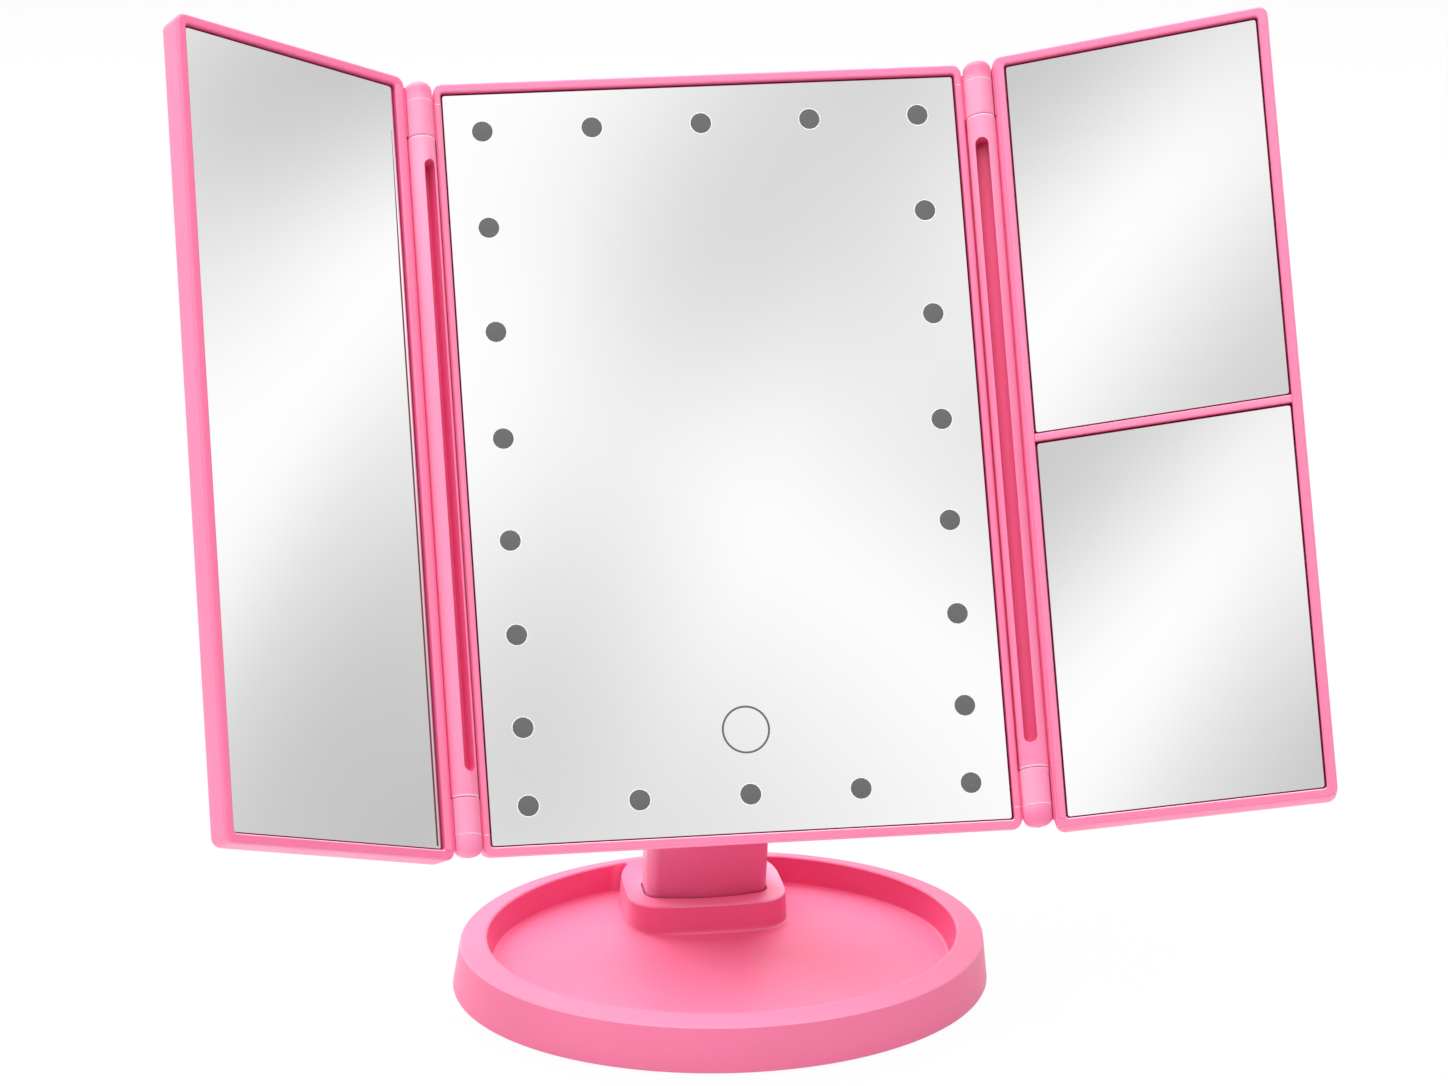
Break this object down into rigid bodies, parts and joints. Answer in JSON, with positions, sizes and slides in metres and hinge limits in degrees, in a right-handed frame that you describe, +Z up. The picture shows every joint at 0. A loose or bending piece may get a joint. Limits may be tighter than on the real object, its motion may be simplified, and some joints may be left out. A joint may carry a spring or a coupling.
{
  "type": "lighted mirror",
  "caption": "Tri-fold tabletop vanity mirror with light windows round the centre glass, folding wing mirrors, a tilting head on a post, and an oval tray base.",
  "frame": {"origin": "centre of the flat underside of the oval base, inside the ring of its rim", "axes": "+Z up, +X to the user's right, +Y away from the user, who looks at the glass along +Y"},
  "size_m": [0.3358, 0.1888, 0.2947],
  "materials": {
    "pink_plastic": "smooth, half gloss",
    "mirror_glass": "silvered glass",
    "steel": "plated steel",
    "circuit_board": "white mask",
    "foot_rubber": "matt",
    "cell_wrap": "shrink sleeve",
    "white_nylon": "matt"
  },
  "bodies": {
    "stand": {"base_tray": "pink_plastic", "base_cover": "pink_plastic", "foot_rear_left": "foot_rubber", "foot_rear_right": "foot_rubber", "foot_front_left": "foot_rubber", "foot_front_right": "foot_rubber", "base_screw_1": "steel", "base_screw_2": "steel", "base_screw_3": "steel", "base_screw_4": "steel", "post_front_shell": "pink_plastic", "post_rear_cover": "pink_plastic", "cover_screw_lower": "steel", "cover_screw_upper": "steel", "post_screw_left": "steel", "post_screw_right": "steel", "friction_washer_left": "white_nylon", "friction_washer_right": "white_nylon", "tilt_axle": "steel"},
    "head": {"front_frame": "pink_plastic", "rear_housing": "pink_plastic", "centre_glass": "mirror_glass", "led_board": "circuit_board", "control_board": "circuit_board", "touch_sensor": "steel", "battery_1": "cell_wrap", "battery_2": "cell_wrap", "battery_3": "cell_wrap", "battery_4": "cell_wrap", "switch_body": "white_nylon", "usb_socket": "steel", "contact_plate_left": "steel", "contact_plate_right": "steel", "axle_cap_left": "pink_plastic", "axle_cap_right": "pink_plastic", "housing_screw_1": "steel", "housing_screw_2": "steel", "housing_screw_3": "steel", "housing_screw_4": "steel", "hinge_pin_left_upper": "steel", "hinge_pin_left_lower": "steel", "hinge_pin_right_upper": "steel", "hinge_pin_right_lower": "steel"},
    "left_wing": {"left_wing_tray": "pink_plastic", "left_wing_glass": "mirror_glass"},
    "right_wing": {"right_wing_tray": "pink_plastic", "right_upper_glass": "mirror_glass", "right_lower_glass": "mirror_glass"},
    "battery_door": {"battery_door": "pink_plastic"},
    "switch": {"switch_slider": "pink_plastic"}
  },
  "joints": [
    {"name": "head_tilt", "type": "hinge", "parent": "stand", "child": "head", "pos_m": [0, 0.03124, 0.1448], "axis": [-1, 0, 0], "range_deg": [-36, 54]},
    {"name": "left_wing_fold", "type": "hinge", "parent": "head", "child": "left_wing", "pos_m": [-0.0873, 0.02353, 0.16771], "axis": [0, 0.5878, 0.809], "range_deg": [-34, 146]},
    {"name": "right_wing_fold", "type": "hinge", "parent": "head", "child": "right_wing", "pos_m": [0.0873, 0.02353, 0.16771], "axis": [0, -0.5878, -0.809], "range_deg": [-19.5, 160.5]},
    {"name": "battery_door_slide", "type": "slide", "parent": "head", "child": "battery_door", "axis": [0, 0.5878, 0.809], "range_m": [0, 0.007]},
    {"name": "power_switch", "type": "slide", "parent": "head", "child": "switch", "axis": [0, 0.5878, 0.809], "range_m": [0, 0.004]}
  ]
}
